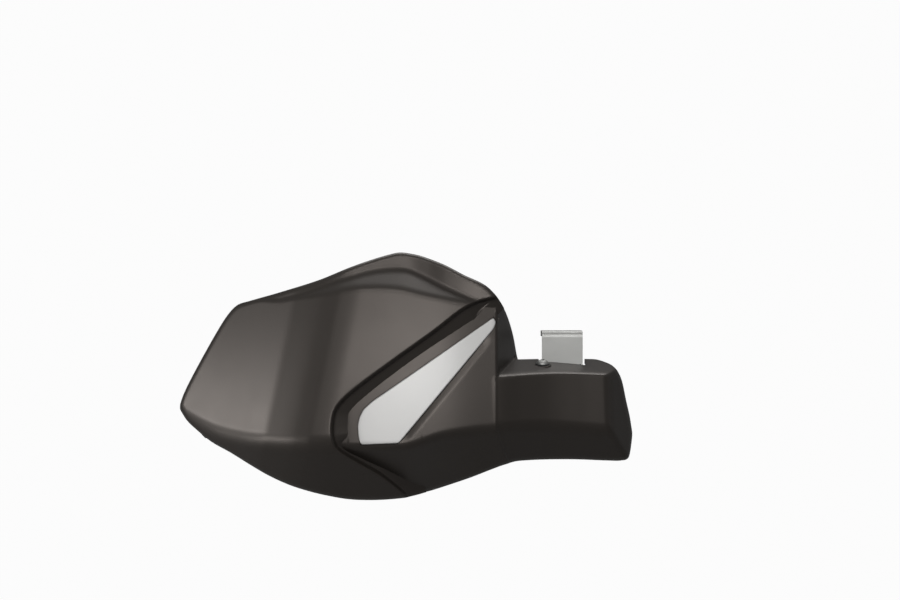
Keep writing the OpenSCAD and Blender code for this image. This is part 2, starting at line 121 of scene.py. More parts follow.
@dataclass(frozen=True)
class ShellForm:
    """Depth of the shell's outer surface over its front view, in millimetres.

    Every face is a height field y(x, z). Faces meet in soft convex or concave corners.
    """

    curves: ShellCurves = field(default_factory=ShellCurves)
    wall: float = 3.0
    step_depth: float = 6.5
    lip_depth: float = 3.9
    lip_run: float = 0.45
    valley_lean: float = 0.2
    ramp_run: float = 3.0
    band_slope: float = 0.85
    lean: float = 0.06
    crown: float = 0.0008
    chin_round: float = 7.0
    under_slope: float = 1.0
    end_wall_x: float = 154.0
    end_wall_slope: float = 3.2
    box_top_slope: float = 3.5
    box_end_x: float = 223.5
    box_end_slope: float = 2.0
    edge_round: float = 2.6
    border_width: float = 3.8
    border_slope: float = 0.3

    @staticmethod
    def curve(points: Curve, x: Values) -> Values:
        """Smooth curve through points, held level past its ends.

        Args:
            points: (x, value) pairs in rising order of x.
            x: places to read it at.

        Returns:
            The curve's value at each place.
        """
        px, pv = np.array(points, float).T
        left = np.r_[0, np.arange(len(px) - 1)]
        right = np.r_[np.arange(1, len(px)), len(px) - 1]
        rise = (pv[right] - pv[left]) / (px[right] - px[left])
        i = np.clip(np.searchsorted(px, x, side="right") - 1, 0, len(px) - 2)
        h = px[i + 1] - px[i]
        u = np.clip((x - px[i]) / h, 0, 1)
        return (
            pv[i] * (2 * u**3 - 3 * u**2 + 1)
            + pv[i + 1] * (3 * u**2 - 2 * u**3)
            + h * rise[i] * (u**3 - 2 * u**2 + u)
            + h * rise[i + 1] * (u**3 - u**2)
        )

    @staticmethod
    def soft_max(a: Values, b: Values, r: float) -> Values:
        """The larger of a and b, rounded over where they are within r of each other."""
        return np.maximum(a, b) + np.maximum(r - np.abs(a - b), 0) ** 2 / (4 * r)

    def soft_min(self, a: Values, b: Values, r: float) -> Values:
        """The smaller of a and b, rounded where they are within r of each other."""
        return -self.soft_max(-a, -b, r)

    def leaned(self, up: Values) -> Values:
        """How far a face lies back at a height above its crease."""
        return self.lean * up + self.crown * up * np.abs(up)

    def band(self, x: Values, z: Values) -> Values:
        """How far the band under the top rim leans back, with soft corners."""
        up = z - self.curve(self.curves.band_foot, x)
        wide = np.maximum(self.curve(self.curves.band_top, x) - self.curve(self.curves.band_foot, x), 0.1)
        r = np.minimum(2.5, wide / 2)
        return self.band_slope * (self.soft_max(up, 0 * up, r) - self.soft_max(up - wide, 0 * up, r))

    def drop(self, gap: Values) -> Values:
        """Depth of the step's wall below the blade's edge: a steep lip, then a ramp."""
        ramp = self.lip_depth + (gap - self.lip_run * self.lip_depth) / self.ramp_run
        return self.soft_min(gap / self.lip_run, ramp, 0.9)

    def blade(self, x: Values, z: Values) -> Values:
        """Depth of the outer blade, with the band under its rim and its chin."""
        c = self.curves
        up = z - self.curve(c.chin, x)
        front = self.curve(c.blade_front, x - self.valley_lean * (z - 46))
        face = front + self.leaned(up) + self.band(x, z)
        return self.soft_max(face, front - self.under_slope * up, self.chin_round)

    def panel(self, x: Values, z: Values) -> Values:
        """Depth of the panel behind the step, with its end wall and its underside."""
        c = self.curves
        front = self.curve(c.blade_front, x) + self.step_depth
        face = front + self.leaned(z - self.curve(c.chin, x))
        end_wall = face + self.end_wall_slope * (x - self.end_wall_x)
        under = front + self.curve(c.panel_under, x) * (self.curve(c.panel_crease, x) - z)
        return self.soft_max(self.soft_max(face, end_wall, 2.5), under, 4.0)

    def box(self, x: Values, z: Values) -> Values:
        """Depth of the box end: front, sloped top, inboard end and underside."""
        c = self.curves
        front = self.curve(c.box_front, x)
        up = z - self.curve(c.panel_crease, x)
        face = front + self.leaned(up)
        top = face + self.box_top_slope * (z - self.curve(c.box_crease, x))
        end = self.curve(c.box_front, np.array(self.box_end_x)) + self.box_end_slope * (
            x - self.box_end_x + 0.07 * z
        )
        under = front - self.under_slope * up
        return self.soft_max(self.soft_max(self.soft_max(face, top, 6.0), end, 6.0), under, 5.0)

    def border(self, x: Values, z: Values) -> Values:
        """Extra depth of the sloped border along the insert's inboard edge."""
        (x0, z0), (x1, z1) = self.curves.insert_line[2:4]
        length = math.hypot(x1 - x0, z1 - z0)
        away = ((z1 - z0) * (x - x0) - (x1 - x0) * (z - z0)) / -length
        along = ((x - x0) * (x1 - x0) + (z - z0) * (z1 - z0)) / length
        ends = np.clip(np.minimum(along - 5, length + 2 - along) / 8, 0, 1)
        slope = self.soft_max(self.border_width - away, 0 * away, 0.8) * self.border_slope
        return np.where(away > -2.0, slope * ends, 0.0)

    def inner(self, x: Values, z: Values) -> Values:
        """Depth of the panel and the box together, with a soft inside corner."""
        return self.soft_min(self.panel(x, z) + self.border(x, z), self.box(x, z), 1.0)

    def high(self, x: Values) -> Values:
        """Upper outline of the whole shell."""
        c = self.curves
        top = self.curve(c.top_edge, x) - 5.0 * np.maximum(x - c.top_edge[-1][0], 0)
        return np.where(x < 150, top, np.maximum(top, self.curve(c.box_edge, x)))

    def low(self, x: Values) -> Values:
        """Lower outline of the whole shell."""
        return self.curve(self.curves.bottom_edge, x)

    def rear(self, x: Values) -> Values:
        """Depth at which the shell's edges end."""
        xs, ys = np.array(self.curves.rear_edge, float).T
        return np.interp(x, xs, ys)

    def outline(self) -> Values:
        """Closed outline in the front view, as an array of (x, z)."""
        first, last = self.curves.top_edge[0][0], self.curves.box_edge[-1][0]
        x = np.linspace(first, last, 1400)
        upper = np.c_[x, self.high(x)]
        lower = np.c_[x, self.low(x)]
        ends = [np.linspace(a, b, 20) for a, b in ((lower[0], upper[0]), (upper[-1], lower[-1]))]
        return resample(np.concatenate([ends[0], upper, ends[1], lower[::-1]]), OUTLINE_POINTS)

    def rounding(self, x: Values, z: Values) -> Values:
        """How far the surface turns back close to the outline."""
        edge = self.outline()
        r = self.edge_round
        tree = KDTree(len(edge))
        for i, (a, b) in enumerate(edge):
            tree.insert((a, 0, b), i)
        tree.balance()
        gap = np.array([tree.find((a, 0, b))[2] for a, b in zip(x.ravel(), z.ravel())]).reshape(x.shape)
        near = r - np.minimum(gap, r)
        return r - np.sqrt(np.maximum(r * r - near * near, 0))


def smooth_path(points: Curve, count: int) -> Values:
    """Evenly spaced places on a smooth line through points.

    Args:
        points: corners of the line.
        count: how many places to give.

    Returns:
        An array of (x, z).
    """
    p = np.array(points, float)
    p = np.concatenate([[2 * p[0] - p[1]], p, [2 * p[-1] - p[-2]]])
    dense = []
    for i in range(1, len(p) - 2):
        u = np.linspace(0, 1, 40, endpoint=False)[:, None]
        a, b, c, d = p[i - 1 : i + 3]
        dense.append(
            0.5 * (2 * b + (c - a) * u + (2 * a - 5 * b + 4 * c - d) * u**2 + (3 * b - a - 3 * c + d) * u**3)
        )
    line = np.concatenate([*dense, p[-2:-1]])
    return resample(line, count)


def resample(line: Values, count: int) -> Values:
    """Places at equal steps along a line of points."""
    s = np.r_[0, np.cumsum(np.hypot(*np.diff(line, axis=0).T))]
    t = np.linspace(0, s[-1], count)
    return np.c_[np.interp(t, s, line[:, 0]), np.interp(t, s, line[:, 1])]


def grid_mesh(bm: bmesh.types.BMesh, points: Values) -> list[bmesh.types.BMVert]:
    """Adds a grid to a mesh and moves its corners to given places.

    Args:
        bm: the mesh to add to.
        points: array of columns, rows and (x, y, z) in millimetres.

    Returns:
        The new corners.
    """
    columns, rows = points.shape[:2]
    made = bmesh.ops.create_grid(bm, x_segments=columns - 1, y_segments=rows - 1, size=1.0)["verts"]
    made.sort(key=lambda v: (round(v.co.x, 5), round(v.co.y, 5)))
    for vert, place in zip(made, points.reshape(-1, 3)):
        vert.co = Vector(place * MM)
    return made


def finished(
    name: str, bm: bmesh.types.BMesh, material: bpy.types.Material, smooth: float = 40.0
) -> bpy.types.Object:
    """Makes an object from a mesh, shades it smooth and lets it ride on the shell.

    Args:
        name: the object's name.
        bm: its mesh, which is freed.
        material: its finish.
        smooth: edges sharper than this many degrees stay sharp.

    Returns:
        The object, in the scene.
    """
    for face in bm.faces:
        face.smooth = True
    mesh = bpy.data.meshes.new(name)
    bm.to_mesh(mesh)
    bm.free()
    mesh.set_sharp_from_angle(angle=math.radians(smooth))
    mesh.materials.append(material)
    made = bpy.data.objects.new(name, mesh)
    bpy.context.scene.collection.objects.link(made)
    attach(made, "root")
    return made


def prism(bm: bmesh.types.BMesh, ends: tuple[Sequence[Values], Sequence[Values]], bevel: float = 0.0) -> None:
    """Adds a closed prism to a mesh.

    Args:
        bm: the mesh to add to.
        ends: corners of its two ends, in millimetres.
        bevel: width of its rounded edges, in millimetres.
    """
    near = [bm.verts.new(Vector(c) * MM) for c in ends[0]]
    face = bm.faces.new(near)
    swept = bmesh.ops.extrude_face_region(bm, geom=[face], use_keep_orig=True)["geom"]
    fresh = {g for g in swept if isinstance(g, bmesh.types.BMVert)}
    for start, place in zip(near, ends[1]):
        for edge in start.link_edges:
            if edge.other_vert(start) in fresh:
                edge.other_vert(start).co = Vector(place) * MM
    faces = list({f for v in [*fresh, *near] for f in v.link_faces})
    bmesh.ops.recalc_face_normals(bm, faces=faces)
    if bevel:
        sharp = [e for e in {e for f in faces for e in f.edges} if e.calc_face_angle(0.0) > 0.5]
        bmesh.ops.bevel(
            bm, geom=sharp, offset=bevel * MM, offset_type="OFFSET", segments=2, profile=0.5, affect="EDGES",
            material=-1, clamp_overlap=True,
        )


def turned(bm: bmesh.types.BMesh, profile: Sequence[tuple[float, float]], place: Callable[[Vector], Vector],
           steps: int = 64) -> None:
    """Adds a closed turned body to a mesh.

    Args:
        bm: the mesh to add to.
        profile: closed outline as (radius, height) in millimetres, anticlockwise.
        place: moves a point from the turning frame, with its axis on +Z, to its place.
        steps: segments of the turn.
    """
    verts = [bm.verts.new((r * MM, 0, h * MM)) for r, h in profile]
    edges = [bm.edges.new((verts[i], verts[(i + 1) % len(verts)])) for i in range(len(verts))]
    made = bmesh.ops.spin(
        bm, geom=verts + edges, cent=(0, 0, 0), axis=(0, 0, 1), angle=math.tau, steps=steps, use_merge=True
    )
    near = {v for e in edges for v in e.verts if v.is_valid}
    near |= {g for g in made["geom_last"] if isinstance(g, bmesh.types.BMVert) and g.is_valid}
    reached = set(near)
    while near:
        near = {e.other_vert(v) for v in near for e in v.link_edges} - reached
        reached |= near
    bmesh.ops.remove_doubles(bm, verts=list(reached), dist=1e-7)
    reached = {v for v in reached if v.is_valid}
    bmesh.ops.recalc_face_normals(bm, faces=list({f for v in reached for f in v.link_faces}))
    for v in reached:
        v.co = place(v.co)


def seat_frame(form: ShellForm, x: float = 182.6, z: float = 30.4, lean: float = 16.0) -> Matrix:
    """Frame on the top of the box, square to the seat of the top screw, in metres."""
    place = Vector((x, float(form.box(np.array(x), np.array(z))), z)) * MM
    return Matrix.Translation(place) @ Matrix.Rotation(math.radians(lean), 4, "X")


@dataclass
class Shell:
    """The moulded shell: outer blade, stepped panel, box end and the lugs inside them.

    Lengths are in millimetres. The grid of the blade fans out from the pole, has rows at foot_shares of the
    way down the step and at edge_gaps from the outline, and weld joins corners closer than that. Lugs and
    ribs start at the depth root inside the wall.
    """

    material: bpy.types.Material
    form: ShellForm = field(default_factory=ShellForm)
    pole: tuple[float, float] = (105.0, 8.0)
    fan_columns: int = 300
    fan_rows: int = 54
    fine: int = 9000
    foot_shares: tuple[float, ...] = (
        1, 0.9, 0.78, 0.64, 0.5, 0.39, 0.3, 0.23, 0.185, 0.15, 0.12, 0.085, 0.05, 0.02,
    )
    edge_gaps: tuple[float, ...] = (4.2, 3.2, 2.4, 1.7, 1.1, 0.6, 0.25, 0.0)
    weld: float = 0.05
    root: float = 1.3
    insert_gap: float = 0.45
    pocket_depth: float = 1.3
    notch: tuple[float, float, float] = (180.6, 210.0, -41.5)
    ear: tuple[float, float] = (-12.0, -6.0)
    rib_x: tuple[float, float] = (8.0, 36.0)
    studs: tuple[tuple[float, float], ...] = ((84.0, -3.0), (108.0, 13.0), (138.0, 43.0))

    def step_gap(self, x: Values, z: Values) -> tuple[Values, Values]:
        """Signed distance past the step's edge, and the blade's depth at the nearest place on it."""
        line = smooth_path(self.form.curves.step_line, STEP_POINTS)
        ahead = np.gradient(line, axis=0)
        side = np.c_[-ahead[:, 1], ahead[:, 0]] / np.hypot(*ahead.T)[:, None]
        depth = self.form.blade(*line.T)
        gap, level = np.empty(x.size), np.empty(x.size)
        for a in range(0, x.size, AT_ONCE):
            part = slice(a, a + AT_ONCE)
            here = np.c_[x.ravel()[part], z.ravel()[part]]
            away = here[:, None] - line[None]
            near = np.hypot(*away.transpose(2, 0, 1)).argmin(1)
            pick = away[np.arange(len(near)), near]
            gap[part] = (pick * side[near]).sum(1)
            level[part] = depth[near]
        return gap.reshape(x.shape), level.reshape(x.shape)

    def outer(self, x: Values, z: Values) -> Values:
        """Depth of the outer blade with its stepped, rounded edge."""
        gap, level = self.step_gap(x, z)
        return self.form.soft_max(self.form.blade(x, z), level + self.form.drop(gap), 2.0)

    def inside(self, x: Values, z: Values) -> Values:
        """True where a place in the front view lies inside the shell's outline."""
        ends = self.form.curves
        within = (x >= ends.top_edge[0][0]) & (x <= ends.box_edge[-1][0])
        return within & (z <= self.form.high(x)) & (z >= self.form.low(x))

    def within(self, near: Values, far: Values) -> Values:
        """Brings each far place back towards its near one until it lies inside the outline."""
        low, high = np.zeros(len(near)), np.ones(len(near))
        out = ~self.inside(*far.T)
        for _ in range(24):
            mid = (low + high) / 2
            kept = self.inside(*(near + (far - near) * mid[:, None]).T)
            low, high = np.where(kept, mid, low), np.where(kept, high, mid)
        return near + (far - near) * np.where(out, low, 1.0)[:, None]

    def step_foot(self, start: Values, ahead: Values) -> Values:
        """Distance along each ray from the step's edge to where its wall meets the panel.

        Args:
            start: places on the step's edge.
            ahead: unit direction of each ray.

        Returns:
            The distances.
        """
        low, high = np.zeros(len(start)), np.full(len(start), 34.0)
        for _ in range(22):
            mid = (low + high) / 2
            at = start + ahead * mid[:, None]
            seen = self.outer(*at.T) < self.form.inner(*at.T) + 0.3
            low, high = np.where(seen, mid, low), np.where(seen, high, mid)
        return low

    def columns(self) -> tuple[Values, Values, Values]:
        """Ends of each column of the outer blade's grid, along rays from the pole.

        Returns:
            Where it starts on the step's foot, crosses the step's edge and ends on the outline.
        """
        pole = np.array(self.pole)

        def turn_of(places: Values) -> Values:
            return np.mod(np.arctan2(*(places - pole).T[::-1]), math.tau)

        line = smooth_path(self.form.curves.step_line, STEP_POINTS)
        edge = self.form.outline()
        edge = edge[np.argsort(turn_of(edge))]
        turn = turn_of(edge)

        def on_outline(at: Values) -> Values:
            return np.c_[np.interp(at, turn, edge[:, 0]), np.interp(at, turn, edge[:, 1])]

        line_turn = turn_of(line)
        even = turn_of(resample(on_outline(line_turn), self.fine))
        mixed = 0.75 * np.linspace(0, 1, self.fine) + 0.25 * (even - even[0]) / (even[-1] - even[0])
        picks = np.interp(np.linspace(0, 1, self.fan_columns), mixed, even)
        share = np.interp(picks, np.maximum.accumulate(line_turn), np.arange(len(line)))
        start = np.c_[tuple(np.interp(share, np.arange(len(line)), values) for values in line.T)]
        inward = (pole - start) / np.hypot(*(pole - start).T)[:, None]
        low = start + inward * self.step_foot(start, inward)[:, None]
        kept = self.inside(*low.T)
        picks, whole, low = picks[kept], start[kept], low[kept]
        start = self.within(low, whole)
        end = on_outline(picks)
        cut_short = np.hypot(*(start - whole).T) > 0.01
        end[cut_short] = start[cut_short]
        return low, start, end

    def outer_points(self) -> tuple[Values, Values]:
        """Places of the outer blade's grid, from the foot of its step out to the outline.

        Returns:
            The grid of (x, y, z), and the line of the step's foot in the front view.
        """
        low, start, end = self.columns()
        reach = np.hypot(*(end - start).T)
        some_reach = np.maximum(reach, 1e-3)
        rows = [start + (low - start) * k for k in self.foot_shares]
        for k in (0.0, 0.25, 0.55, 0.9):
            rows.append(start + (end - start) * np.minimum(k / some_reach, 0.05 * k)[:, None])
        for k in np.linspace(0, 1, self.fan_rows)[1:] ** 1.12:
            away = 1.0 + k * np.maximum(reach - 6, 0)
            share = np.where(reach > 8, away / np.maximum(reach, 8), 0.06 + 0.14 * k)
            rows.append(start + (end - start) * share[:, None])
        for away in self.edge_gaps:
            held = np.minimum(away / some_reach, 0.8 * away / self.edge_gaps[0])
            rows.append(end - (end - start) * held[:, None])
        grid = np.stack(rows, axis=1)[::-1]
        x, z = grid[..., 0], grid[..., 1]
        return np.stack([x, self.outer(x, z) + self.form.rounding(x, z), z], axis=-1), low

    def inner_points(self, foot: Values) -> Values:
        """Places of the grid of the panel and the box.

        Args:
            foot: line of the step's foot in the front view, from its upper end.

        Returns:
            The grid of (x, y, z).
        """
        foot = foot - np.array([1.1, 0])
        tip = foot[:, 0].argmin()
        upper, lower = foot[: tip + 1][::-1], foot[tip:]
        x = np.concatenate([
            np.arange(foot[tip, 0] + 0.1, 74, 0.7), np.arange(74, 148, 1.0), np.arange(148, 158, 0.55),
            np.arange(158, 168.5, 0.3), np.arange(168.5, 216, 0.9), np.arange(216, 239, 0.7), [239.1, 239.5],
        ])
        lap = 0.9
        high = np.where(x < upper[-1, 0], np.interp(x, *np.maximum.accumulate(upper).T) + lap, 1e3)
        rising = np.maximum.accumulate(lower[:, 0])
        low = np.where(x < lower[-1, 0], np.interp(x, rising, lower[:, 1]) - lap, -1e3)
        high = np.minimum(high, self.form.high(x))
        low = np.maximum(low, self.form.low(x))
        near = np.array([0, 0.25, 0.6, 1.1, 1.7, 2.4])
        tall = (high - low)[:, None]
        ends = near / near[-1] * np.minimum(near[-1], 0.12 * tall)
        middle = np.linspace(0, 1, 84)[None, 1:-1] * (tall - 2 * ends[:, -1:]) + ends[:, -1:]
        z = low[:, None] + np.concatenate([ends, middle, tall - ends[:, ::-1]], axis=1)
        x = np.repeat(x[:, None], z.shape[1], axis=1)
        return np.stack([x, self.form.inner(x, z) + self.form.rounding(x, z), z], axis=-1)

    def add_flange(self, bm: bmesh.types.BMesh, verts: Sequence[bmesh.types.BMVert]) -> None:
        """Draws the edges on the outline straight back to the shell's rear edge.

        Args:
            bm: the mesh.
            verts: the corners of one sheet.
        """
        edge = self.form.outline()
        rim = {v for v in verts if v.is_valid and v.is_boundary}
        places = np.array([(v.co.x / MM, v.co.z / MM) for v in rim])
        gaps = np.hypot(*(places[:, None] - edge[None]).transpose(2, 0, 1)).min(1)
        on_edge = {v for v, gap in zip(rim, gaps) if gap < 0.2}
        edges = [e for e in bm.edges if e.is_boundary and e.verts[0] in on_edge and e.verts[1] in on_edge]
        for share in (0.25, 0.6, 1.0):
            made = bmesh.ops.extrude_edge_only(bm, edges=edges)["geom"]
            for v in (g for g in made if isinstance(g, bmesh.types.BMVert)):
                rear = max(float(self.form.rear(np.array(v.co.x / MM))) * MM, v.co.y + 0.0005)
                v.co.y += (rear - v.co.y) * share
            edges = [g for g in made if isinstance(g, bmesh.types.BMEdge)]

    @staticmethod
    def cut(bm: bmesh.types.BMesh, at: Vector, normal: Vector, near: Callable[[Vector], bool]) -> None:
        """Cuts the faces whose middle is near a place by a plane."""
        faces = [f for f in bm.faces if near(f.calc_center_median())]
        geom = faces + list({e for f in faces for e in f.edges}) + list({v for f in faces for v in f.verts})
        bmesh.ops.bisect_plane(bm, geom=geom, dist=2e-6, plane_co=at, plane_no=normal)

    def cut_notch(self, bm: bmesh.types.BMesh) -> None:
        """Cuts the notch in the box's top that the bracket rises through."""
        left, right, front = (value * MM for value in self.notch)

        def near(c: Vector) -> bool:
            return left - 0.004 < c.x < right + 0.004 and c.z > 0.015 and c.y > front - 0.01

        for at, normal in (
            (Vector((left, 0, 0)), Vector((1, 0, 0))), (Vector((right, 0, 0)), Vector((1, 0, 0))),
            (Vector((0, front, 0)), Vector((0, 1, 0))),
        ):
            self.cut(bm, at, normal, near)
        gone = []
        for f in bm.faces:
            c = f.calc_center_median()
            if left < c.x < right and c.z > 0.02 and c.y > front:
                gone.append(f)
        bmesh.ops.delete(bm, geom=gone, context="FACES")

    def thicken(self, bm: bmesh.types.BMesh) -> None:
        """Gives the sheet its wall: a second skin inside it, closed along the free edges."""
        bm.normal_update()
        sheet = list(bm.verts)
        rims = [(e.verts[0], e.verts[1], e.link_loops[0].vert) for e in bm.edges if e.is_boundary]
        moved = [v.co - v.normal * (self.form.wall * MM * min(v.calc_shell_factor(), 1.25)) for v in sheet]
        places = np.array([(c.x / MM, c.z / MM) for c in moved])
        kept = self.within(places * 0.5 + np.array(self.pole) * 0.5, places)
        made = bmesh.ops.duplicate(bm, geom=[*sheet, *bm.edges, *bm.faces])
        for vert, place, (x, z) in zip(sheet, moved, kept):
            made["vert_map"][vert].co = (x * MM, place.y, z * MM)
        bmesh.ops.reverse_faces(bm, faces=[g for g in made["geom"] if isinstance(g, bmesh.types.BMFace)])
        twin = made["vert_map"]
        for a, b, first in rims:
            ahead, behind = (a, b) if first is a else (b, a)
            bm.faces.new((behind, ahead, twin[ahead], twin[behind]))

    def lug(self, bm: bmesh.types.BMesh) -> None:
        """Adds the ear that reaches back to the handlebar's axis, its eye and its two gussets."""
        turn = np.linspace(-math.pi / 2, math.pi / 2, 15)
        round_hole = [(-10.5 * math.cos(t), -10.5 * math.sin(t)) for t in turn]
        rear = [(0, 14), *round_hole, (0, -14), (-16, -14), (-44, -20)]
        rings = []
        for x in self.ear:
            z = np.linspace(-21, 29, 16)
            front = self.form.blade(np.full(z.shape, x), z) + self.root
            rings.append([(x, y, h) for y, h in [*zip(front, z), (-44, 27), (-16, 14), *rear]])
        prism(bm, (rings[0], rings[1]), 0.5)
        length = self.ear[1] - self.ear[0]
        eye = [(7.0, 0.6), (7.6, 0), (13.2, 0), (14, 0.8), (14, length - 0.8), (13.2, length), (7.6, length),
               (7.0, length - 0.6)]
        turned(bm, eye, lambda c: Vector((c.z + self.ear[0] * MM, c.y, -c.x)))
        for height in (-12.0, 12.0):
            x = np.linspace(-25, 18, 44)
            front = self.form.blade(x, np.full(x.shape, height)) + self.root
            back = np.interp(x, (-25, -12, -6, 18), (-70, -18, -18, -70))
            x, front, back = (values[front < back - 1.0] for values in (x, front, back))
            flat = [*zip(x, front), *zip(x[::-1], back[::-1])]
            prism(bm, tuple([(a, b, height + side) for a, b in flat] for side in (-1.5, 1.5)), 0.4)

    def ribs(self, bm: bmesh.types.BMesh) -> None:
        """Adds the upright ribs inside the blade's outer end."""
        z = np.linspace(0.0, 58.0, 30)
        for start in self.rib_x:
            rings = []
            for x in (start, start + 2.4):
                front = self.form.blade(np.full(z.shape, x), z) + self.root
                deep = np.minimum(z + 1.2, np.minimum(59.2 - z, 7.0)) + 2.2
                rings.append([(x, y, h) for y, h in [*zip(front, z), *zip((front + deep)[::-1], z[::-1])]])
            prism(bm, (rings[0], rings[1]), 0.4)

    def bosses(self, bm: bmesh.types.BMesh) -> None:
        """Adds the bosses round the insert's studs and the seat of the top screw."""
        for x, z in self.studs:
            front = float(self.form.panel(np.array(x), np.array(z)))
            profile = [(2.2, 1.9), (7.0, 1.9), (7.0, 4.0), (6.4, 4.6), (2.7, 4.6), (2.2, 4.1)]
            place = Vector((x, front, z)) * MM
            turned(bm, profile, lambda c, place=place: place + Vector((c.x, c.z, -c.y)))
        seat = seat_frame(self.form)
        profile = [(3.3, -3.4), (3.7, -3.8), (7.0, -3.8), (7.5, -3.3), (7.5, -1.4), (5.5, -1.4), (5.5, 0.1),
                   (5.1, 0.5), (3.6, 0.5), (3.3, 0.2)]
        turned(bm, profile, lambda c: seat @ c)

    def pocket_line(self) -> Values:
        """Outline of the insert's pocket: the insert's own outline, grown by the gap."""
        line = np.array(self.form.curves.insert_line, float)
        middle = line.mean(0)
        grown = []
        for before, here, after in zip(np.roll(line, 1, 0), line, np.roll(line, -1, 0)):
            away = []
            for a, b in ((before, here), (here, after)):
                normal = np.array([-(b - a)[1], (b - a)[0]]) / np.hypot(*(b - a))
                away.append(normal * np.sign(normal @ (here - middle)))
            both = away[0] + away[1]
            grown.append(here + both * self.insert_gap / (1 + away[0] @ away[1]))
        return np.array(grown)

    def sink_pocket(self, bm: bmesh.types.BMesh) -> None:
        """Cuts the pocket's outline into the panel and sinks the faces inside it."""
        line = self.pocket_line()
        middle = line.mean(0)
        sides = []
        for a, b in zip(line, np.roll(line, -1, 0)):
            normal = np.array([-(b - a)[1], (b - a)[0]]) / np.hypot(*(b - a))
            normal *= np.sign(normal @ (a - middle))
            sides.append((a, normal))
            ahead = (b - a) / np.hypot(*(b - a))
            length = np.hypot(*(b - a))

            def near(c: Vector, a: Values = a, ahead: Values = ahead, normal: Values = normal,
                     length: float = length) -> bool:
                away = np.array([c.x / MM, c.z / MM]) - a
                return -2.5 < away @ ahead < length + 2.5 and abs(away @ normal) < 2.5 and c.y < -0.06

            self.cut(bm, Vector((a[0] * MM, 0, a[1] * MM)), Vector((normal[0], 0, normal[1])), near)
        inside = []
        for f in bm.faces:
            c = f.calc_center_median()
            if c.y < -0.06 and all(((c.x / MM, c.z / MM) - a) @ n < 0 for a, n in sides):
                inside.append(f)
        sunk = bmesh.ops.extrude_face_region(bm, geom=inside)["geom"]
        bmesh.ops.delete(bm, geom=inside, context="FACES_ONLY")
        verts = [g for g in sunk if isinstance(g, bmesh.types.BMVert)]
        bmesh.ops.translate(bm, verts=verts, vec=(0, self.pocket_depth * MM, 0))

    def build(self) -> bpy.types.Object:
        """Builds the whole shell.

        Returns:
            The shell's object, which stands for the CAD shell.
        """
        bm = bmesh.new()
        points, foot = self.outer_points()
        verts = grid_mesh(bm, points)
        bmesh.ops.remove_doubles(bm, verts=verts, dist=self.weld * MM)
        self.add_flange(bm, list(bm.verts))
        panel = grid_mesh(bm, self.inner_points(foot))
        bmesh.ops.remove_doubles(bm, verts=panel, dist=self.weld * MM)
        self.add_flange(bm, [v for v in panel if v.is_valid])
        self.cut_notch(bm)
        self.sink_pocket(bm)
        flat = [f for f in bm.faces if f.calc_area() < 1e-12]
        bmesh.ops.delete(bm, geom=flat, context="FACES")
        self.thicken(bm)
        self.lug(bm)
        self.ribs(bm)
        self.bosses(bm)
        shell = finished("guard_shell_moulding", bm, self.material, 55.0)
        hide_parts("guard_shell")
        return shell


@dataclass
class Insert:
    """The silver insert: a thin plate that follows the panel, with three studs behind it."""

    material: bpy.types.Material
    shell: Shell
    corner: float = 1.6
    thickness: float = 1.7
    proud: float = 0.5
    edge_round: float = 0.7
    columns: int = 360

    def border(self) -> Values:
        """Closed outline of the plate with rounded corners, as an array of (x, z)."""
        line = np.array(self.shell.form.curves.insert_line, float)
        corners = []
        for before, here, after in zip(np.roll(line, 1, 0), line, np.roll(line, -1, 0)):
            reach = [min(self.corner, 0.45 * np.hypot(*(end - here))) for end in (before, after)]
            ahead = [(end - here) / np.hypot(*(end - here)) for end in (before, after)]
            a, b = (here + way * r for way, r in zip(ahead, reach))
            u = np.linspace(0, 1, 7)[:, None]
            corners.append((1 - u) ** 2 * a + 2 * u * (1 - u) * here + u**2 * b)
        loop = np.concatenate(corners)
        return resample(np.concatenate([loop, loop[:1]]), self.columns)

    def build(self) -> bpy.types.Object:
        """Builds the plate and its studs.

        Returns:
            The insert's object, which stands for the CAD insert.
        """
        border = self.border()
        middle = border[:-1].mean(0)
        ahead = np.roll(border, -1, 0) - np.roll(border, 1, 0)
        ahead[[0, -1]] = border[1] - border[-2]
        out = np.c_[ahead[:, 1], -ahead[:, 0]] / np.hypot(*ahead.T)[:, None]
        height = np.abs(((border - middle) * out).sum(1))
        r = self.edge_round
        points = []

        def ring(inset: Values | float, depth: float) -> None:
            place = border + (middle - border) * inset
            points.append(np.c_[place[:, 0], self.shell.form.panel(*place.T) + depth, place[:, 1]])

        back = self.thickness - self.proud
        for share in (1.0, 0.5, 0.0):
            ring(share, back)
        for t in np.linspace(0, 1, 7):
            inset, sunk = r * (1 - math.cos(t * math.pi / 2)), r * (1 - math.sin(t * math.pi / 2))
            ring((inset / height)[:, None], sunk - self.proud)
        start = (r / height)[:, None]
        for share in np.linspace(0, 1, 22)[1:]:
            ring(start + (1 - start) * share, -self.proud)
        bm = bmesh.new()
        made = grid_mesh(bm, np.array(points))
        bmesh.ops.remove_doubles(bm, verts=made, dist=1e-6)
        bmesh.ops.recalc_face_normals(bm, faces=list(bm.faces))
        for x, z in self.shell.studs:
            front = float(self.shell.form.panel(np.array(x), np.array(z)))
            place = Vector((x, front, z)) * MM
            profile = [(0.0, back), (2.0, back), (2.0, 10.2), (1.6, 10.6), (0.0, 10.6)]
            turned(bm, profile, lambda c, place=place: place + Vector((c.x, c.z, -c.y)), 24)
        plate = finished("silver_plate", bm, self.material, 40.0)
        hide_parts("silver_insert")
        return plate


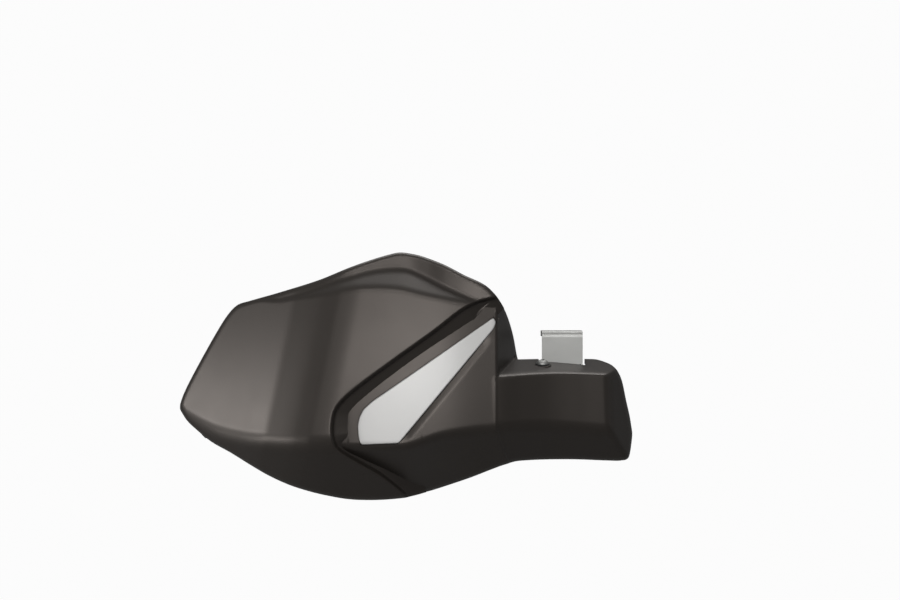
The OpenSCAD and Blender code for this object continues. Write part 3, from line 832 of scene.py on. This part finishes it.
def soften(obj: bpy.types.Object, width: float) -> None:
    """Rounds the sharp edges of a solid of the frame and shades it smooth.

    Args:
        obj: the solid.
        width: width of its rounded edges, in millimetres.
    """
    bevel = obj.modifiers.new("soft_edges", "BEVEL")
    bevel.width = width * MM
    bevel.segments = 3
    bevel.limit_method = "ANGLE"
    bevel.angle_limit = math.radians(32)
    bevel.harden_normals = False
    for face in obj.data.polygons:
        face.use_smooth = True
    obj.data.set_sharp_from_angle(angle=math.radians(32))


@dataclass(frozen=True)
class Wire:
    """A node's output that adds its own Math nodes when it is used in an expression."""

    tree: bpy.types.NodeTree
    socket: bpy.types.NodeSocket

    def _maths(self, operation: str, left: "Wire | float", right: "Wire | float") -> "Wire":
        """Adds one Math node for two values."""
        made = self.tree.nodes.new("ShaderNodeMath")
        made.operation = operation
        for slot, value in zip(made.inputs, (left, right)):
            if isinstance(value, Wire):
                self.tree.links.new(value.socket, slot)
            else:
                slot.default_value = value
        return Wire(self.tree, made.outputs[0])

    def __add__(self, other: "Wire | float") -> "Wire":
        """Sum."""
        return self._maths("ADD", self, other)

    def __mul__(self, other: "Wire | float") -> "Wire":
        """Product."""
        return self._maths("MULTIPLY", self, other)


@dataclass(frozen=True)
class Finish:
    """A surface finish, made from one principled shader with a fine grain.

    Colours are linear. Grain sizes are in millimetres.
    """

    name: str
    colour: tuple[float, float, float]
    roughness: float
    metallic: float = 0.0
    coat: float = 0.0
    grain_mm: float = 0.5
    grain_height: float = 0.0
    mottle: float = 0.0
    roughness_spread: float = 0.0
    sheen_tint: tuple[float, float, float] = (1.0, 1.0, 1.0)

    @staticmethod
    def node(tree: bpy.types.NodeTree, kind: str, settings: dict[str, object] | None = None,
             **inputs: object) -> bpy.types.ShaderNode:
        """Adds a node, sets its settings and then its inputs.

        Args:
            tree: the material's node tree.
            kind: the node's type.
            settings: attributes of the node.
            **inputs: values or links of its sockets, with _ for a space in a name.

        Returns:
            The node.
        """
        made = tree.nodes.new(kind)
        for key, value in (settings or {}).items():
            setattr(made, key, value)
        for key, value in inputs.items():
            slot = made.inputs[key.replace("_", " ")]
            if isinstance(value, Wire):
                tree.links.new(value.socket, slot)
            elif isinstance(value, bpy.types.NodeSocket):
                tree.links.new(value, slot)
            else:
                slot.default_value = value
        return made

    def noise(self, tree: bpy.types.NodeTree, size_mm: float, detail: float) -> Wire:
        """Noise with features of about size_mm, from 0 to 1."""
        place = self.node(tree, "ShaderNodeTexCoord").outputs["Object"]
        made = self.node(tree, "ShaderNodeTexNoise", Vector=place, Scale=1.0 / (size_mm * MM), Detail=detail)
        return Wire(tree, made.outputs["Fac"])

    def material(self) -> bpy.types.Material:
        """Makes the material."""
        made = bpy.data.materials.new(self.name)
        made.use_nodes = True
        tree = made.node_tree
        shader = tree.nodes["Principled BSDF"]
        shader.inputs["Base Color"].default_value = (*self.colour, 1.0)
        shader.inputs["Roughness"].default_value = self.roughness
        shader.inputs["Metallic"].default_value = self.metallic
        shader.inputs["Coat Weight"].default_value = self.coat
        shader.inputs["Coat Roughness"].default_value = 0.2
        shader.inputs["Specular Tint"].default_value = (*self.sheen_tint, 1.0)
        if self.roughness_spread:
            lowest = self.roughness - self.roughness_spread / 2
            rough = self.noise(tree, 14.0, 3.0) * self.roughness_spread + lowest
            tree.links.new(rough.socket, shader.inputs["Roughness"])
        if self.mottle:
            share = self.noise(tree, 22.0, 4.0)
            darker = tuple(c * (1 - self.mottle) for c in self.colour)
            mixed = self.node(tree, "ShaderNodeMix", {"data_type": "RGBA"})
            tree.links.new(share.socket, mixed.inputs["Factor"])
            mixed.inputs[6].default_value = (*darker, 1.0)
            mixed.inputs[7].default_value = (*(min(c * (1 + self.mottle), 1.0) for c in self.colour), 1.0)
            tree.links.new(mixed.outputs[2], shader.inputs["Base Color"])
        if self.grain_height:
            grain = self.noise(tree, self.grain_mm, 2.0)
            height = self.grain_height * MM
            bump = self.node(tree, "ShaderNodeBump", Height=grain, Strength=1.0, Distance=height)
            tree.links.new(bump.outputs[0], shader.inputs["Normal"])
        return made


class Finishes(Enum):
    """The finishes of the hand guard."""

    SHELL = Finish("satin_black_plastic", (0.0165, 0.0142, 0.0124), 0.385, grain_mm=0.5, grain_height=0.012,
                   mottle=0.06, roughness_spread=0.05, sheen_tint=(1.0, 0.9, 0.83))
    SILVER = Finish("silver_lacquer", (0.5, 0.495, 0.485), 0.5, metallic=0.35, coat=0.15, mottle=0.02)
    STEEL = Finish("zinc_plated_steel", (0.3, 0.3, 0.29), 0.5, metallic=1.0,
                   roughness_spread=0.12, mottle=0.08)
    DARK_STEEL = Finish("black_plated_steel", (0.035, 0.035, 0.035), 0.38, metallic=0.6, roughness_spread=0.1)
    BLACK_PAINT = Finish("satin_black_paint", (0.02, 0.02, 0.02), 0.4, coat=0.2, grain_mm=0.8,
                         grain_height=0.006)
    ALUMINIUM = Finish("turned_aluminium", (0.72, 0.72, 0.73), 0.34, metallic=1.0, roughness_spread=0.1)
    BRASS = Finish("turned_brass", (0.72, 0.5, 0.2), 0.32, metallic=1.0, mottle=0.08)
    YELLOW_ZINC = Finish("yellow_zinc", (0.6, 0.5, 0.24), 0.34, metallic=1.0, mottle=0.15)
    RUBBER = Finish("black_rubber", (0.018, 0.018, 0.018), 0.72, grain_mm=0.4, grain_height=0.02)


# Finish of each solid of the frame, and the width in millimetres of its rounded edges
NODE_FINISHES: dict[str, tuple[Finishes, float]] = {
    "push_on_clips": (Finishes.DARK_STEEL, 0.0),
    "top_screw": (Finishes.STEEL, 0.12),
    "top_washer": (Finishes.DARK_STEEL, 0.15),
    "screw_sleeve": (Finishes.STEEL, 0.15),
    "rubber_pad": (Finishes.RUBBER, 0.3),
    "mirror_bracket": (Finishes.STEEL, 0.5),
    "clinch_nut": (Finishes.YELLOW_ZINC, 0.2),
    "bar_end_bolt": (Finishes.STEEL, 0.4),
    "bolt_washer": (Finishes.STEEL, 0.2),
    "bar_end_weight": (Finishes.BLACK_PAINT, 0.6),
    "outer_rubber_washer": (Finishes.RUBBER, 0.35),
    "ear_sleeve": (Finishes.STEEL, 0.3),
    "inner_rubber_washer": (Finishes.RUBBER, 0.35),
    "bar_end_spacer": (Finishes.ALUMINIUM, 0.4),
    "expander_sleeve": (Finishes.ALUMINIUM, 0.2),
    "expander_cone": (Finishes.BRASS, 0.3),
    "silver_insert": (Finishes.SILVER, 0.0),
    "guard_shell": (Finishes.SHELL, 0.0),
}


@dataclass
class Studio:
    """Floor, backdrop, lamps and the camera at the photograph's view."""

    eye: tuple[float, float, float] = (0.12524, -2.142, 0.0707)
    lens_mm: float = 135.0
    floor_z: float = -0.55

    def build(self) -> None:
        """Builds the studio."""
        self.camera()
        self.floor()
        self.lamps()

    def camera(self) -> None:
        """Adds the camera, level and looking along +Y."""
        made = bpy.data.objects.new("camera", bpy.data.cameras.new("camera"))
        made.data.lens = self.lens_mm
        made.data.clip_start, made.data.clip_end = 0.1, 20.0
        made.location = self.eye
        made.rotation_euler = (math.pi / 2, 0, 0)
        bpy.context.scene.collection.objects.link(made)
        bpy.context.scene.camera = made

    def floor(self) -> None:
        """Adds a pale floor that curves up behind the object."""
        bm = bmesh.new()
        verts = [bm.verts.new((-6, -6, self.floor_z)), bm.verts.new((-6, 1.5, self.floor_z))]
        bm.edges.new(verts)
        bend = bmesh.ops.spin(
            bm, geom=[verts[1]], cent=(-6, 1.5, self.floor_z + 1.0), axis=(1, 0, 0), angle=math.pi / 2,
            steps=16,
        )
        top = [g for g in bend["geom_last"] if isinstance(g, bmesh.types.BMVert)][0]
        crown = bm.verts.new((top.co.x, top.co.y, 5.0))
        bm.edges.new((top, crown))
        swept = bmesh.ops.extrude_edge_only(bm, edges=list(bm.edges))["geom"]
        far = [g for g in swept if isinstance(g, bmesh.types.BMVert)]
        bmesh.ops.translate(bm, verts=far, vec=(12, 0, 0))
        bmesh.ops.recalc_face_normals(bm, faces=list(bm.faces))
        mesh = bpy.data.meshes.new("floor")
        for face in bm.faces:
            face.smooth = True
        bm.to_mesh(mesh)
        bm.free()
        made = bpy.data.objects.new("floor", mesh)
        bpy.context.scene.collection.objects.link(made)
        mesh.materials.append(self.floor_paint())

    @staticmethod
    def floor_paint() -> bpy.types.Material:
        """Makes the floor's material, which is white to the camera and keeps a faint shadow."""
        paint = bpy.data.materials.new("pale_floor")
        paint.use_nodes = True
        tree = paint.node_tree
        shader = tree.nodes["Principled BSDF"]
        shader.inputs["Base Color"].default_value = (0.2, 0.2, 0.2, 1.0)
        shader.inputs["Roughness"].default_value = 0.9
        glow = Finish.node(tree, "ShaderNodeEmission", Color=(1, 1, 1, 1), Strength=1.0)
        path = Finish.node(tree, "ShaderNodeLightPath")
        seen = (
            Wire(tree, path.outputs["Is Camera Ray"]) * 0.97
            + Wire(tree, path.outputs["Is Glossy Ray"]) * 0.1
            + Wire(tree, path.outputs["Is Transmission Ray"]) * 0.92
        )
        mixed = Finish.node(tree, "ShaderNodeMixShader")
        tree.links.new(seen.socket, mixed.inputs[0])
        tree.links.new(shader.outputs[0], mixed.inputs[1])
        tree.links.new(glow.outputs[0], mixed.inputs[2])
        tree.links.new(mixed.outputs[0], tree.nodes["Material Output"].inputs[0])
        return paint

    @staticmethod
    def lamp(
        name: str, place: tuple[float, float, float], size: tuple[float, float], power: float
    ) -> None:
        """Adds a soft rectangular lamp aimed at the object's middle.

        Args:
            name: the lamp's name.
            place: where it stands, in metres.
            size: its width and height, in metres.
            power: in watts.
        """
        data = bpy.data.lights.new(name, "AREA")
        data.shape = "RECTANGLE"
        data.size, data.size_y = size
        data.energy = power
        made = bpy.data.objects.new(name, data)
        made.location = place
        aim = Vector((0.1, -0.05, 0.02)) - Vector(place)
        made.rotation_euler = aim.to_track_quat("-Z", "Y").to_euler()
        bpy.context.scene.collection.objects.link(made)

    def lamps(self) -> None:
        """Adds the lamps and an even pale surround."""
        self.lamp("front_lamp", (0.08, -2.7, 0.8), (1.35, 0.6), 31.0)
        self.lamp("high_lamp", (0.1, -1.7, 1.6), (1.2, 0.4), 11.5)
        self.lamp("left_lamp", (-1.9, -0.48, 0.36), (0.5, 0.3), 13.0)
        self.lamp("low_lamp", (-1.3, -0.6, -0.5), (0.7, 0.4), 10.0)
        self.lamp("top_lamp", (0.25, 0.55, 1.5), (1.2, 0.25), 11.5)
        world = bpy.data.worlds.new("surround")
        bpy.context.scene.world = world
        world.use_nodes = True
        tree = world.node_tree
        back = tree.nodes["Background"]
        back.inputs["Color"].default_value = (1.0, 1.0, 1.0, 1.0)
        path = Finish.node(tree, "ShaderNodeLightPath")
        seen = (
            Wire(tree, path.outputs["Is Camera Ray"]) * 0.95
            + Wire(tree, path.outputs["Is Glossy Ray"]) * 0.22
            + Wire(tree, path.outputs["Is Transmission Ray"]) * 0.95
            + 0.09
        )
        tree.links.new(seen.socket, back.inputs["Strength"])


def main() -> None:
    """Builds every piece in order and reports it."""
    logging.basicConfig(level=logging.INFO, format="%(name)s: %(message)s")
    made = {finish: finish.value.material() for finish in Finishes}
    for node, (finish, edge) in NODE_FINISHES.items():
        solid = bpy.data.objects[node]
        solid.data.materials.clear()
        solid.data.materials.append(made[finish])
        if edge:
            soften(solid, edge)
        log.info("%s is finished in %s", node, finish.value.name)
    shell = Shell(made[Finishes.SHELL])
    moulding = shell.build()
    log.info("%s has %d faces", moulding.name, len(moulding.data.polygons))
    plate = Insert(made[Finishes.SILVER], shell).build()
    log.info("%s has %d faces", plate.name, len(plate.data.polygons))
    Studio().build()
    bpy.context.scene.view_settings.view_transform = "Standard"


if __name__ == "__main__":
    main()
